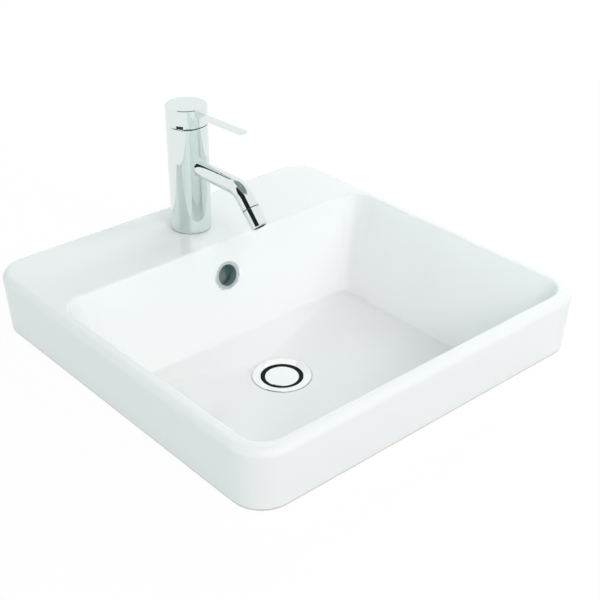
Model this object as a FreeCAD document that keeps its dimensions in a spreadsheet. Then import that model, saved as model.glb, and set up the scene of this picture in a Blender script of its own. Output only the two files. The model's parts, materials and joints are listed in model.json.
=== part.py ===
"""Inset vanity basin: a glazed skirted basin with a single-lever mixer and a pop-up waste.

Millimetres. The origin is the middle of the skirt's foot, on the worktop. +X is right, +Y is the tap's side,
the front faces -Y and +Z is up.
"""
import FreeCAD, Part
import math
import os
import Sketcher

Vector = FreeCAD.Vector

# Driving sizes, in millimetres and degrees
SIZES = {
    # ceramic basin, outside
    "rim_width": 450.0,
    "rim_depth": 452.5,
    "rim_height": 69.4,
    "corner_radius": 38.0,
    "skirt_draft": 3.3,
    "skirt_wall": 12.0,
    "deck_thickness": 12.0,
    "rim_fillet": 8.0,
    "foot_fillet": 4.0,
    # ceramic basin, bowl
    "side_land": 14.0,
    "front_land": 13.6,
    "deck_depth": 118.9,
    "bowl_depth": 126.8,
    "bowl_corner": 27.0,
    "bowl_wall": 11.0,
    "floor_fall": 15.4,
    "floor_corner": 12.0,
    "floor_fillet": 3.0,
    "side_lean": 21.0,
    "rear_lean": 12.5,
    "front_lean": 20.0,
    "lip_fillet": 3.5,
    # ceramic basin, openings
    "waste_inset": 103.85,
    "waste_flat": 37.0,
    "waste_flat_inset": 188.0,
    "waste_flat_corner": 29.6,
    "waste_hole_radius": 23.0,
    "boss_wall": 14.0,
    "boss_height": 42.0,
    "overflow_drop": 38.4,
    "duct_width": 28.0,
    "duct_depth": 13.0,
    "duct_wall": 9.0,
    "duct_headroom": 2.0,
    "duct_overlap": 4.0,
    "tap_inset": 63.55,
    "tap_hole_radius": 17.5,
    # overflow ring
    "overflow_bore": 12.5,
    "overflow_sleeve_wall": 1.2,
    "overflow_sleeve_length": 9.0,
    "overflow_lip_radius": 17.6,
    "overflow_lip": 1.4,
    "overflow_lip_side": 0.7,
    # waste
    "collar_radius": 33.5,
    "collar_recess": 1.5,
    "collar_play": 0.6,
    "collar_rise": 0.8,
    "collar_dish": 1.5,
    "collar_bevel": 0.4,
    "collar_seal": 0.5,
    "collar_seal_inset": 1.2,
    "cup_radius": 26.5,
    "cup_wall": 2.2,
    "cup_depth": 12.0,
    "cup_seat_depth": 6.0,
    "cup_seat_width": 2.3,
    "cup_play": 1.0,
    "tail_radius": 20.95,
    "tail_wall": 2.95,
    "tail_length": 88.0,
    "thread_undercut": 0.8,
    "window_width": 12.0,
    "window_height": 14.0,
    "window_drop": 4.0,
    "spider_bar": 4.0,
    "spider_height": 6.0,
    "spider_hub": 7.0,
    "spider_drop": 40.0,
    "back_washer": 4.0,
    "slip_washer": 1.5,
    "washer_radius": 33.0,
    "back_nut_flats": 56.0,
    "back_nut_height": 9.0,
    # pop-up plug
    "plug_radius": 19.5,
    "plug_chamfer": 0.7,
    "plug_foot": 2.5,
    "plug_foot_step": 2.0,
    "plug_boss_wall": 2.0,
    "plug_boss_length": 10.5,
    "plug_sink": 0.2,
    "plug_seal_rise": 4.9,
    "seal_play": 0.35,
    "sleeve_radius": 8.0,
    "sleeve_wall": 1.95,
    "sleeve_length": 28.0,
    "sleeve_cap": 3.0,
    "plug_travel": 8.0,
    "post_wall": 1.6,
    "post_stub_radius": 3.95,
    "post_overlap": 7.0,
    "spring_radius": 3.2,
    "spring_wire": 0.5,
    "spring_turns": 5,
    "spring_seat": 4.0,
    # mixer body
    "tap_radius": 23.3,
    "tap_height": 125.5,
    "tap_chamfer": 0.5,
    "gasket_thickness": 1.0,
    "gasket_inset": 0.7,
    "spigot_play": 0.7,
    "spigot_depth": 5.0,
    "cartridge_bore": 18.0,
    "cartridge_depth": 33.0,
    "rebate_radius": 20.6,
    "rebate_depth": 2.2,
    "supply_radius": 3.2,
    "supply_spread": 7.5,
    "supply_back": 4.0,
    "mix_forward": 8.0,
    "mix_radius": 4.0,
    "inlet_radius": 5.0,
    "inlet_depth": 14.0,
    # spout and aerator
    "spout_rise": 78.6,
    "spout_radius": 9.5,
    "spout_wall": 3.0,
    "spout_reach": 92.5,
    "spout_bend": 26.0,
    "spout_droop": 47.0,
    "spout_tip": 46.4,
    "shank_wall": 1.5,
    "shank_depth": 9.0,
    "saddle_gap": 0.02,
    "aerator_length": 22.2,
    "aerator_wall": 1.6,
    "aerator_chamfer": 0.8,
    "aerator_lip": 0.6,
    "aerator_lip_height": 2.0,
    "aerator_spigot": 7.0,
    "aerator_spigot_wall": 1.3,
    "aerator_washer": 1.2,
    "insert_height": 11.0,
    "insert_plate": 2.0,
    "jet_radius": 0.9,
    "jet_ring": 4.6,
    "jet_count": 8,
    # cartridge
    "base_height": 4.0,
    "port_seal_height": 1.4,
    "port_seal_wall": 1.6,
    "disc_height": 3.0,
    "fixed_disc_radius": 14.6,
    "moving_disc_radius": 10.6,
    "mix_pocket_radius": 7.0,
    "mix_pocket_depth": 1.4,
    "carrier_height": 4.2,
    "carrier_floor": 0.6,
    "housing_play": 0.4,
    "housing_wall": 2.5,
    "housing_roof": 2.5,
    "housing_height": 22.0,
    "rotor_gap": 0.4,
    "rotor_neck_radius": 11.0,
    "rotor_neck_rise": 4.0,
    "stem_width": 8.0,
    "stem_depth": 6.4,
    "stem_side_gap": 0.2,
    "stem_slot": 15.0,
    "stem_neck_radius": 1.1,
    "stem_ball_radius": 1.9,
    "stem_ball_lift": 0.3,
    "ball_gap": 0.3,
    "pivot_height": 22.0,
    "pin_radius": 1.5,
    "pin_length": 20.0,
    "nut_height": 4.6,
    "nut_bore": 12.0,
    "nut_slot": 4.0,
    "dress_ring_height": 2.0,
    # handle
    "handle_gap": 0.8,
    "hub_height": 21.3,
    "hub_chamfer": 0.8,
    "hub_wall": 4.0,
    "hub_recess": 8.0,
    "hub_socket": 8.0,
    "notch_turn": 56.0,
    "notch_width": 7.8,
    "notch_height": 3.8,
    "lift_angle": 20.0,
    "lift_start": -2.0,
    "lever_width": 9.4,
    "lever_thickness": 2.6,
    "lever_length": 99.5,
    "lever_drop": 5.1,
    "lever_rise": 1.95,
    "lever_tenon": 8.0,
    "grub_radius": 2.0,
    "grub_length": 10.0,
    "screw_cap_length": 4.0,
    "screw_cap_inset": 0.3,
    # mixer fixing
    "stud_radius": 4.0,
    "stud_forward": 9.0,
    "stud_length": 70.0,
    "stud_bite": 12.0,
    "horseshoe_radius": 22.0,
    "horseshoe_slot": 27.0,
    "horseshoe_bridge": 3.0,
    "horseshoe_rubber": 3.0,
    "horseshoe_plate": 3.0,
    "fixing_nut_flats": 13.0,
    "fixing_nut_height": 18.0,
    # fits
    "running_fit": 0.05,
    "pin_fit": 0.03,
    "thread_fit": 0.05,
    "slip_fit": 0.2,
    "cut_margin": 1.0,
}

# How close an edge must lie to a level to count as lying on it
NEAR = 0.01

document = FreeCAD.newDocument("VanityBasin")
sheet = document.addObject("Spreadsheet::Sheet", "Sizes")
for row, (alias, value) in enumerate(SIZES.items(), start=1):
    sheet.set(f"A{row}", alias)
    sheet.set(f"B{row}", str(value))
    sheet.setAlias(f"B{row}", alias)
document.recompute()


class Size:
    """A length or angle known as a number and as the sheet formula that gives it."""

    def __init__(self, number, formula=None):
        self.number = float(number)
        self.formula = formula or repr(float(number))

    def __add__(self, other):
        other = as_size(other)
        return Size(self.number + other.number, f"({self.formula} + {other.formula})")

    def __sub__(self, other):
        other = as_size(other)
        return Size(self.number - other.number, f"({self.formula} - {other.formula})")

    def __mul__(self, other):
        other = as_size(other)
        return Size(self.number * other.number, f"({self.formula} * {other.formula})")

    def __truediv__(self, other):
        other = as_size(other)
        return Size(self.number / other.number, f"({self.formula} / {other.formula})")

    def __neg__(self):
        return Size(-self.number, f"(0 - {self.formula})")

    def __radd__(self, other):
        return as_size(other) + self

    def __rsub__(self, other):
        return as_size(other) - self

    def __rmul__(self, other):
        return as_size(other) * self


def as_size(value):
    """The value as a Size."""
    return value if isinstance(value, Size) else Size(value)


def tangent(angle):
    """Tangent of an angle in degrees."""
    return Size(math.tan(math.radians(angle.number)), f"tan({angle.formula})")


def larger(first, second):
    """The larger of two sizes."""
    return Size(max(first.number, second.number), f"max({first.formula}; {second.formula})")


def sine(angle):
    """Sine of an angle in degrees."""
    return Size(math.sin(math.radians(angle.number)), f"sin({angle.formula})")


def cosine(angle):
    """Cosine of an angle in degrees."""
    return Size(math.cos(math.radians(angle.number)), f"cos({angle.formula})")


class Named:
    """The driving sizes, by name."""

    def __getattr__(self, name):
        return Size(SIZES[name], f"Sizes.{name}")


mm = Named()
ZERO = Size(0)


def bind(item, target, size):
    """Let the sheet drive one property of an object."""
    item.setExpression(target, as_size(size).formula)


def place(body, x=ZERO, y=ZERO, z=ZERO, tilt=None):
    """Put a body's own frame at a point, tilted about the X direction."""
    if tilt is not None:
        body.Placement = FreeCAD.Placement(Vector(), FreeCAD.Rotation(Vector(1, 0, 0), tilt.number))
        bind(body, "Placement.Rotation.Angle", tilt)
    for axis, size in zip("xyz", (x, y, z)):
        bind(body, f"Placement.Base.{axis}", size)


def new_body(label):
    """An empty body for one piece."""
    body = document.addObject("PartDesign::Body", label)
    body.Label = label
    return body


def new_sketch(body, role, offset=ZERO, tilt=None):
    """A sketch on one of the body's own planes, moved along the plane's normal."""
    sketch = body.newObject("Sketcher::SketchObject", f"{body.Name}_outline")
    plane = next(item for item in body.Origin.OriginFeatures if item.Role == role)
    sketch.AttachmentSupport = [(plane, "")]
    sketch.MapMode = "FlatFace"
    if tilt is not None:
        turned = FreeCAD.Rotation(Vector(1, 0, 0), tilt.number)
        sketch.AttachmentOffset = FreeCAD.Placement(Vector(), turned)
        bind(sketch, "AttachmentOffset.Rotation.Angle", tilt)
    bind(sketch, "AttachmentOffset.Base.z", offset)
    return sketch


def fix_point(sketch, curve, end, x, y):
    """Hold one end of a sketch curve at a bound place."""
    for kind, axis, size in (("DistanceX", -2, as_size(x)), ("DistanceY", -1, as_size(y))):
        if abs(size.number) < 1e-9:
            sketch.addConstraint(Sketcher.Constraint("PointOnObject", curve, end, axis))
            continue
        index = sketch.addConstraint(Sketcher.Constraint(kind, curve, end, size.number))
        bind(sketch, f"Constraints[{index}]", size)


def draw_polygon(sketch, points):
    """A closed outline of straight lines through bound points."""
    points = [(as_size(x), as_size(y)) for x, y in points]
    corners = [Vector(x.number, y.number, 0) for x, y in points]
    lines = []
    for start, end in zip(corners, corners[1:] + corners[:1]):
        lines.append(sketch.addGeometry(Part.LineSegment(start, end)))
    for line, following in zip(lines, lines[1:] + lines[:1]):
        sketch.addConstraint(Sketcher.Constraint("Coincident", line, 2, following, 1))
    for line, (x, y) in zip(lines, points):
        fix_point(sketch, line, 1, x, y)


def draw_circle(sketch, radius, x=ZERO, y=ZERO):
    """A circle of a bound radius at a bound place."""
    x, y = as_size(x), as_size(y)
    circle = sketch.addGeometry(Part.Circle(Vector(x.number, y.number, 0), Vector(0, 0, 1), radius.number))
    fix_point(sketch, circle, 3, x, y)
    index = sketch.addConstraint(Sketcher.Constraint("Radius", circle, radius.number))
    bind(sketch, f"Constraints[{index}]", radius)


def draw_rounded(sketch, left, right, front, rear, radius):
    """A rectangle with round corners: four lines joined by tangent arcs of one radius."""
    low_x, high_x, low_y, high_y, r = (size.number for size in (left, right, front, rear, radius))
    centres = [(high_x - r, low_y + r), (high_x - r, high_y - r),
               (low_x + r, high_y - r), (low_x + r, low_y + r)]
    straight = [((low_x + r, low_y), (high_x - r, low_y)), ((high_x, low_y + r), (high_x, high_y - r)),
                ((high_x - r, high_y), (low_x + r, high_y)), ((low_x, high_y - r), (low_x, low_y + r))]
    curves = []
    for side in range(4):
        start, end = straight[side]
        curves.append(sketch.addGeometry(Part.LineSegment(Vector(*start, 0), Vector(*end, 0))))
        whole = Part.Circle(Vector(*centres[side], 0), Vector(0, 0, 1), r)
        begin = math.radians(90 * side - 90)
        curves.append(sketch.addGeometry(Part.ArcOfCircle(whole, begin, begin + math.pi / 2)))
    for curve, following in zip(curves, curves[1:] + curves[:1]):
        sketch.addConstraint(Sketcher.Constraint("Tangent", curve, 2, following, 1))
    for side, kind in enumerate(("Horizontal", "Vertical", "Horizontal", "Vertical")):
        sketch.addConstraint(Sketcher.Constraint(kind, curves[2 * side]))
    for arc in curves[3::2]:
        sketch.addConstraint(Sketcher.Constraint("Equal", curves[1], arc))
    held = [("Radius", curves[1], None, radius), ("DistanceY", curves[0], 1, front),
            ("DistanceX", curves[2], 1, right), ("DistanceY", curves[4], 1, rear),
            ("DistanceX", curves[6], 1, left)]
    for kind, curve, end, size in held:
        arguments = (curve, size.number) if end is None else (curve, end, size.number)
        index = sketch.addConstraint(Sketcher.Constraint(kind, *arguments))
        bind(sketch, f"Constraints[{index}]", size)


def add_feature(body, kind, name, sketch, **settings):
    """One feature of a body, recomputed and proved to change the body's volume."""
    before = body.Shape.Volume if body.Tip and not body.Shape.isNull() else 0.0
    feature = body.newObject(f"PartDesign::{kind}", f"{body.Name}_{name}")
    feature.Profile = sketch
    for key, setting in settings.items():
        if isinstance(setting, Size):
            bind(feature, key, setting)
        else:
            setattr(feature, key, setting)
    sketch.Visibility = False
    document.recompute()
    if abs(feature.Shape.Volume - before) < 1e-6:
        raise RuntimeError(f"{feature.Name} changes nothing")
    return feature


def revolve(body, outline, cut=False):
    """Turn an outline of (radius, height) points about the body's Z axis."""
    sketch = new_sketch(body, "XZ_Plane")
    draw_polygon(sketch, outline)
    kind = "Groove" if cut else "Revolution"
    return add_feature(body, kind, "turned", sketch, ReferenceAxis=(sketch, ["V_Axis"]), Angle=360)


def turned_piece(label, outline):
    """A piece that is one turned outline."""
    body = new_body(label)
    revolve(body, outline)
    return body


def extrude(body, role, draw, length, offset=ZERO, cut=False, both=False, backwards=False):
    """Pad or pocket what draw() puts on a plane, along the plane's normal or to both sides of it."""
    sketch = new_sketch(body, role, offset)
    draw(sketch)
    kind, name = ("Pocket", "cut") if cut else ("Pad", "pad")
    side = "Symmetric" if both else "One side"
    return add_feature(body, kind, name, sketch, Length=as_size(length), Reversed=backwards, SideType=side)


def drill(body, radius, low, high, x=ZERO, y=ZERO):
    """A round hole along Z between two heights."""
    extrude(body, "XY_Plane", lambda sketch: draw_circle(sketch, radius, x, y), high - low, low, True,
            backwards=True)


def through(radius):
    """A length that cuts right through a piece of a given radius."""
    return 4 * radius


def hexagon(flats):
    """Corner points of a hexagon of a given width across flats."""
    reach = flats / math.sqrt(3)
    turns = [k * math.pi / 3 for k in range(6)]
    return [(reach * math.cos(turn), reach * math.sin(turn)) for turn in turns]


def box_points(left, right, low, high):
    """Corner points of an upright rectangle."""
    return [(left, low), (right, low), (right, high), (left, high)]


def round_edges(body, radius, chosen):
    """Fillet the edges of the body's last feature that chosen() accepts."""
    base = body.Tip
    names = [f"Edge{k}" for k, edge in enumerate(base.Shape.Edges, start=1) if chosen(edge)]
    feature = body.newObject("PartDesign::Fillet", f"{body.Name}_round")
    feature.Base = (base, names)
    bind(feature, "Radius", radius)
    document.recompute()
    if not names or not feature.Shape.isValid():
        raise RuntimeError(f"{feature.Name} rounds nothing")
    return feature


# Levels and places that several pieces share
bowl_half = mm.rim_width / 2 - mm.side_land
bowl_front = mm.rim_depth / 2 - mm.front_land
bowl_rear = mm.rim_depth / 2 - mm.deck_depth
waste_back = bowl_rear - mm.waste_inset
tap_back = mm.rim_depth / 2 - mm.tap_inset
waste_level = mm.rim_height - mm.bowl_depth
floor_edge = waste_level + mm.floor_fall
wall_height = mm.bowl_depth - mm.floor_fall
cup_bore = mm.cup_radius - mm.cup_wall
tail_bore = mm.tail_radius - mm.tail_wall
collar_foot = mm.collar_seal - mm.collar_recess
collar_inner = mm.collar_rise - mm.collar_dish
boss_radius = mm.waste_hole_radius + mm.boss_wall
overflow_sleeve = mm.overflow_bore + mm.overflow_sleeve_wall
overflow_level = mm.rim_height - mm.overflow_drop
overflow_back = bowl_rear - mm.overflow_drop * tangent(mm.rear_lean)
cartridge_seat = mm.tap_height - mm.cartridge_depth
pivot_level = cartridge_seat + mm.pivot_height
hub_bottom = mm.tap_height + mm.handle_gap
hub_top = hub_bottom + mm.hub_height
spout_bore = mm.spout_radius - mm.spout_wall
spout_end = mm.spout_tip - mm.aerator_length
deck_under = -mm.deck_thickness


def bowl_reach(depth, wall=ZERO):
    """Half-width, front and rear of the bowl at a depth below the rim, moved out by a wall."""
    half = bowl_half - depth * tangent(mm.side_lean) + wall / cosine(mm.side_lean)
    front = -bowl_front + depth * tangent(mm.front_lean) - wall / cosine(mm.front_lean)
    rear = bowl_rear - depth * tangent(mm.rear_lean) + wall / cosine(mm.rear_lean)
    return half, front, rear


def basin_loft(body, kind, sections):
    """A ruled loft through rounded rectangles given as (height, half-width, front, rear, radius)."""
    sketches = []
    for level, half, front, rear, radius in sections:
        sketch = new_sketch(body, "XY_Plane", level)
        draw_rounded(sketch, -half, half, front, rear, radius)
        sketch.Visibility = False
        sketches.append(sketch)
    add_feature(body, kind, "loft", sketches[0], Sections=sketches[1:], Ruled=True)


def skirt_section(level, wall=ZERO):
    """One outline of the drafted skirt, moved inwards by a wall."""
    inset = (mm.rim_height - level) * tangent(mm.skirt_draft) + wall
    deep = mm.rim_depth / 2 - inset
    return level, mm.rim_width / 2 - inset, -deep, deep, mm.corner_radius - inset


def bowl_sections(wall, top, bottom_drop):
    """Outlines of the bowl from the top, by the edge of the floor, to the flat round the waste."""
    upper = bowl_reach(top, wall)
    lower = bowl_reach(wall_height, wall)
    flat_half = larger(mm.waste_flat, mm.rim_width / 2 - mm.waste_flat_inset) + wall
    flat_deep = mm.waste_flat + wall
    flat = flat_half, waste_back - flat_deep, waste_back + flat_deep
    return [
        (mm.rim_height - top, *upper, mm.bowl_corner + wall),
        (floor_edge - bottom_drop, *lower, mm.floor_corner + wall),
        (waste_level - bottom_drop, *flat, mm.waste_flat_corner + wall),
    ]


def make_ceramic_basin():
    """The casting: skirt, deck, bowl, waste boss and overflow duct, open underneath."""
    body = new_body("ceramic_basin")
    deck_level = mm.rim_height - mm.deck_thickness
    basin_loft(body, "AdditiveLoft", [skirt_section(mm.rim_height), skirt_section(ZERO)])
    rim = mm.rim_height.number
    round_edges(body, mm.rim_fillet, lambda edge: edge.BoundBox.ZMin > rim - NEAR)
    round_edges(body, mm.foot_fillet, lambda edge: edge.BoundBox.ZMax < NEAR)
    hollow = [skirt_section(deck_level, mm.skirt_wall), skirt_section(ZERO, mm.skirt_wall)]
    basin_loft(body, "SubtractiveLoft", hollow)
    basin_loft(body, "AdditiveLoft", bowl_sections(mm.bowl_wall, mm.deck_thickness / 2, mm.bowl_wall))
    boss_low = waste_level - mm.boss_height
    extrude(body, "XY_Plane", lambda sketch: draw_circle(sketch, boss_radius, ZERO, waste_back),
            mm.boss_height - mm.bowl_wall / 2, boss_low)
    duct = duct_outline(mm.duct_wall)
    extrude(body, "YZ_Plane", lambda sketch: draw_polygon(sketch, duct), mm.duct_width + 2 * mm.duct_wall,
            both=True)
    basin_loft(body, "SubtractiveLoft", bowl_sections(ZERO, ZERO, ZERO))
    round_bowl(body)
    passage = duct_outline(ZERO)
    extrude(body, "YZ_Plane", lambda sketch: draw_polygon(sketch, passage), mm.duct_width, cut=True,
            both=True)
    drill(body, mm.waste_hole_radius, boss_low, waste_level, ZERO, waste_back)
    drill(body, mm.cup_radius + mm.cup_play, waste_level - mm.cup_depth - mm.cup_play, waste_level, ZERO,
          waste_back)
    drill(body, mm.collar_radius + mm.collar_play, waste_level - mm.collar_recess, waste_level, ZERO, waste_back)
    drill(body, mm.tap_hole_radius, deck_level, mm.rim_height, ZERO, tap_back)
    drill_overflow(body)
    return body


def duct_outline(wall):
    """Side view of the overflow duct behind and below the bowl, moved out by a wall."""
    web = mm.duct_wall
    lean = tangent(mm.rear_lean)
    top = overflow_level + overflow_sleeve + mm.duct_headroom + wall
    roof = waste_level - web - mm.duct_headroom + wall
    sole = waste_level - web - mm.duct_headroom - mm.duct_depth - wall
    end = waste_back + mm.waste_hole_radius - mm.duct_overlap

    def rear_face(level, reach):
        return bowl_rear - (mm.rim_height - level) * lean + reach

    inner = web - wall
    outer = web + mm.duct_depth + wall
    return [
        (rear_face(top, inner), top),
        (rear_face(top, outer), top),
        (rear_face(sole, outer), sole),
        (end, sole),
        (end, roof),
        (rear_face(roof, inner), roof),
    ]


def round_bowl(body):
    """Round the lip of the bowl and the bend from its walls to its floor."""
    rim = mm.rim_height.number
    half, front, rear = (size.number for size in bowl_reach(ZERO))
    floor_half, floor_front, floor_rear = (size.number for size in bowl_reach(wall_height))
    edge_level = floor_edge.number

    def on_lip(edge):
        box = edge.BoundBox
        inside = max(-box.XMin, box.XMax) < half + NEAR and box.YMin > front - NEAR and box.YMax < rear + NEAR
        return box.ZMin > rim - NEAR and inside

    def on_bend(edge):
        box = edge.BoundBox
        level = abs(box.ZMin - edge_level) < NEAR and abs(box.ZMax - edge_level) < NEAR
        inside = max(-box.XMin, box.XMax) < floor_half + NEAR
        return level and inside and box.YMin > floor_front - NEAR and box.YMax < floor_rear + NEAR

    round_edges(body, mm.floor_fillet, on_bend)
    round_edges(body, mm.lip_fillet, on_lip)


def drill_overflow(body):
    """The overflow hole, square to the leaning rear wall, through to the duct."""
    sketch = new_sketch(body, "XZ_Plane", -overflow_back, -mm.rear_lean)
    bind(sketch, "AttachmentOffset.Base.y", overflow_level)
    draw_circle(sketch, overflow_sleeve + mm.slip_fit)
    add_feature(body, "Pocket", "overflow", sketch, Length=mm.duct_wall + mm.duct_depth / 2)


def make_overflow_ring():
    """The chrome ring pressed into the overflow hole, its lip on the rear wall."""
    body = turned_piece("overflow_ring", [
        (mm.overflow_bore, mm.overflow_lip),
        (mm.overflow_lip_radius - mm.overflow_lip, mm.overflow_lip),
        (mm.overflow_lip_radius, mm.overflow_lip_side),
        (mm.overflow_lip_radius, ZERO),
        (overflow_sleeve, ZERO),
        (overflow_sleeve, -mm.overflow_sleeve_length),
        (mm.overflow_bore, -mm.overflow_sleeve_length),
    ])
    place(body, ZERO, overflow_back, overflow_level, 90 - mm.rear_lean)
    return body


def at_waste(body):
    """Put a piece on the waste's axis, at the level of the bowl's floor there."""
    place(body, ZERO, waste_back, waste_level)
    return body


def make_waste():
    """Flanged waste body with its seal, and the washers and nut that clamp it under the boss."""
    body = new_body("waste_body")
    seat_bore = cup_bore - mm.cup_seat_width
    nut_low = -mm.boss_height - mm.back_washer - mm.slip_washer - mm.back_nut_height
    undercut = mm.tail_radius - mm.thread_undercut
    revolve(body, [
        (cup_bore, collar_inner),
        (mm.collar_radius - mm.collar_bevel, mm.collar_rise),
        (mm.collar_radius, mm.collar_rise - mm.collar_bevel),
        (mm.collar_radius, collar_foot),
        (mm.cup_radius, collar_foot),
        (mm.cup_radius, -mm.cup_depth),
        (mm.tail_radius, -mm.cup_depth),
        (mm.tail_radius, nut_low),
        (undercut, nut_low),
        (undercut, nut_low - 2 * mm.thread_undercut),
        (mm.tail_radius, nut_low - 2 * mm.thread_undercut),
        (mm.tail_radius, -mm.tail_length),
        (tail_bore, -mm.tail_length),
        (tail_bore, mm.cup_wall - mm.cup_depth),
        (seat_bore, mm.cup_wall - mm.cup_depth),
        (seat_bore, -mm.cup_seat_depth),
        (cup_bore, -mm.cup_seat_depth),
    ])
    window_top = -mm.cup_depth - mm.window_drop
    window = box_points(-mm.window_width / 2, mm.window_width / 2, window_top - mm.window_height, window_top)
    for role in ("XZ_Plane", "YZ_Plane"):
        extrude(body, role, lambda sketch: draw_polygon(sketch, window), through(mm.tail_radius), cut=True,
                both=True)
    spider_low = -mm.spider_drop - mm.spider_height
    half_bar = mm.spider_bar / 2
    reach = tail_bore + mm.tail_wall / 2
    cross = [(reach, half_bar), (half_bar, reach)]
    for wide, deep in cross:
        bar = box_points(-wide, wide, -deep, deep)
        extrude(body, "XY_Plane", lambda sketch: draw_polygon(sketch, bar), mm.spider_height, spider_low)
    extrude(body, "XY_Plane", lambda sketch: draw_circle(sketch, mm.spider_hub), mm.spider_height, spider_low)
    drill(body, mm.post_stub_radius + mm.thread_fit, spider_low, -mm.spider_drop)
    thread_bore = mm.tail_radius + mm.thread_fit
    washer_low = -mm.boss_height - mm.back_washer
    slip_low = washer_low - mm.slip_washer
    seal = turned_piece("waste_flange_seal", box_points(
        mm.cup_radius + mm.slip_fit, mm.collar_radius - mm.collar_seal_inset, -mm.collar_recess, collar_foot))
    rubber = turned_piece("waste_back_washer", [
        (thread_bore, washer_low),
        (mm.washer_radius, washer_low),
        (mm.washer_radius, -mm.boss_height - mm.back_washer / 2),
        (mm.waste_hole_radius + mm.boss_wall / 2, -mm.boss_height),
        (thread_bore, -mm.boss_height),
    ])
    slip = turned_piece("waste_slip_washer", box_points(thread_bore, mm.washer_radius, slip_low, washer_low))
    nut = new_body("waste_back_nut")
    extrude(nut, "XY_Plane", lambda sketch: draw_polygon(sketch, hexagon(mm.back_nut_flats)),
            mm.back_nut_height, nut_low)
    drill(nut, thread_bore, nut_low, slip_low)
    return [at_waste(piece) for piece in (body, seal, rubber, slip, nut)]


def make_plug():
    """Pop-up plug: cap, black seal and sleeve, sliding on a post that the spider holds, over a spring."""
    plug_top = collar_inner - mm.plug_sink
    foot_top = -mm.cup_seat_depth
    foot_low = foot_top - mm.plug_foot
    boss_low = foot_low - mm.plug_boss_length
    sleeve_top = foot_low - mm.plug_boss_wall / 2
    sleeve_bore = mm.sleeve_radius - mm.sleeve_wall
    sleeve_fit = mm.sleeve_radius + mm.thread_fit
    sleeve_low = sleeve_top - mm.sleeve_length
    foot_radius = mm.plug_radius + mm.plug_foot_step
    cap = turned_piece("plug_cap", [
        (ZERO, plug_top),
        (mm.plug_radius - mm.plug_chamfer, plug_top),
        (mm.plug_radius, plug_top - mm.plug_chamfer),
        (mm.plug_radius, foot_top),
        (foot_radius, foot_top),
        (foot_radius, foot_low),
        (sleeve_fit + mm.plug_boss_wall, foot_low),
        (sleeve_fit + mm.plug_boss_wall, boss_low),
        (sleeve_fit, boss_low),
        (sleeve_fit, sleeve_top),
        (ZERO, sleeve_top),
    ])
    seal_outer = cup_bore - mm.seal_play
    seal_top = foot_top + mm.plug_seal_rise
    seal = turned_piece("plug_seal", [
        (mm.plug_radius + mm.thread_fit, foot_top),
        (seal_outer, foot_top),
        (seal_outer, seal_top - mm.plug_chamfer),
        (seal_outer - mm.plug_chamfer, seal_top),
        (mm.plug_radius + mm.thread_fit, seal_top),
    ])
    sleeve = turned_piece("plug_sleeve", [
        (ZERO, sleeve_top),
        (mm.sleeve_radius, sleeve_top),
        (mm.sleeve_radius, sleeve_low),
        (sleeve_bore, sleeve_low),
        (sleeve_bore, sleeve_top - mm.sleeve_cap),
        (ZERO, sleeve_top - mm.sleeve_cap),
    ])
    post_radius = sleeve_bore - mm.running_fit
    post_top = sleeve_low + mm.plug_travel + mm.post_overlap
    spring_low = -mm.spider_drop + mm.spring_seat
    post_bore = post_radius - mm.post_wall
    post = turned_piece("plug_guide_post", [
        (post_bore, post_top),
        (post_radius, post_top),
        (post_radius, -mm.spider_drop),
        (mm.post_stub_radius, -mm.spider_drop),
        (mm.post_stub_radius, -mm.spider_drop - mm.spider_height),
        (ZERO, -mm.spider_drop - mm.spider_height),
        (ZERO, spring_low),
        (post_bore, spring_low),
    ])
    spring = make_spring(spring_low.number, (sleeve_top - mm.sleeve_cap).number)
    pieces = [at_waste(piece) for piece in (cap, seal, sleeve, post)]
    foot = Vector(0, waste_back.number, waste_level.number)
    spring.Placement = FreeCAD.Placement(foot, FreeCAD.Rotation())
    return pieces + [spring]


def helix_biarcs(radius, low, high, turns):
    """A helix as pairs of tangent arcs, two pairs to the turn."""
    steps = 2 * turns
    rise = (high - low) / (2 * math.pi * turns)

    def point(angle):
        return Vector(radius * math.cos(angle), radius * math.sin(angle), low + rise * angle)

    def heading(angle):
        return Vector(-radius * math.sin(angle), radius * math.cos(angle), rise).normalize()

    def arc(start, direction, end):
        chord = end - start
        half_turn = direction.getAngle(chord)
        lift = (direction - chord * (direction.dot(chord) / chord.dot(chord))).normalize()
        return Part.Arc(start, start + chord / 2 + lift * (chord.Length / 2 * math.tan(half_turn / 2)), end)

    curves = []
    for step in range(steps):
        first, last = (2 * math.pi * turns * k / steps for k in (step, step + 1))
        start, end, out, into = point(first), point(last), heading(first), heading(last)
        chord = end - start
        spread = 2 * (1 - out.dot(into))
        along = chord.dot(out + into)
        reach = (math.sqrt(along * along + spread * chord.dot(chord)) - along) / spread
        middle = (start + out * reach + end - into * reach) / 2
        curves.append(arc(start, out, middle))
        curves.append(arc(middle, (end - into * reach) - middle, end))
    return curves, point(0), heading(0)


def least_gap(path, turns, wire):
    """Least gap between the turns of a wound wire, measured on points along its path."""
    per_turn = 24
    points = path.discretize(Number=per_turn * turns)
    spans = []
    for index, point in enumerate(points):
        spans.extend(point.distanceToPoint(other) for other in points[index + per_turn // 2:])
    return min(spans) - 2 * wire


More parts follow.
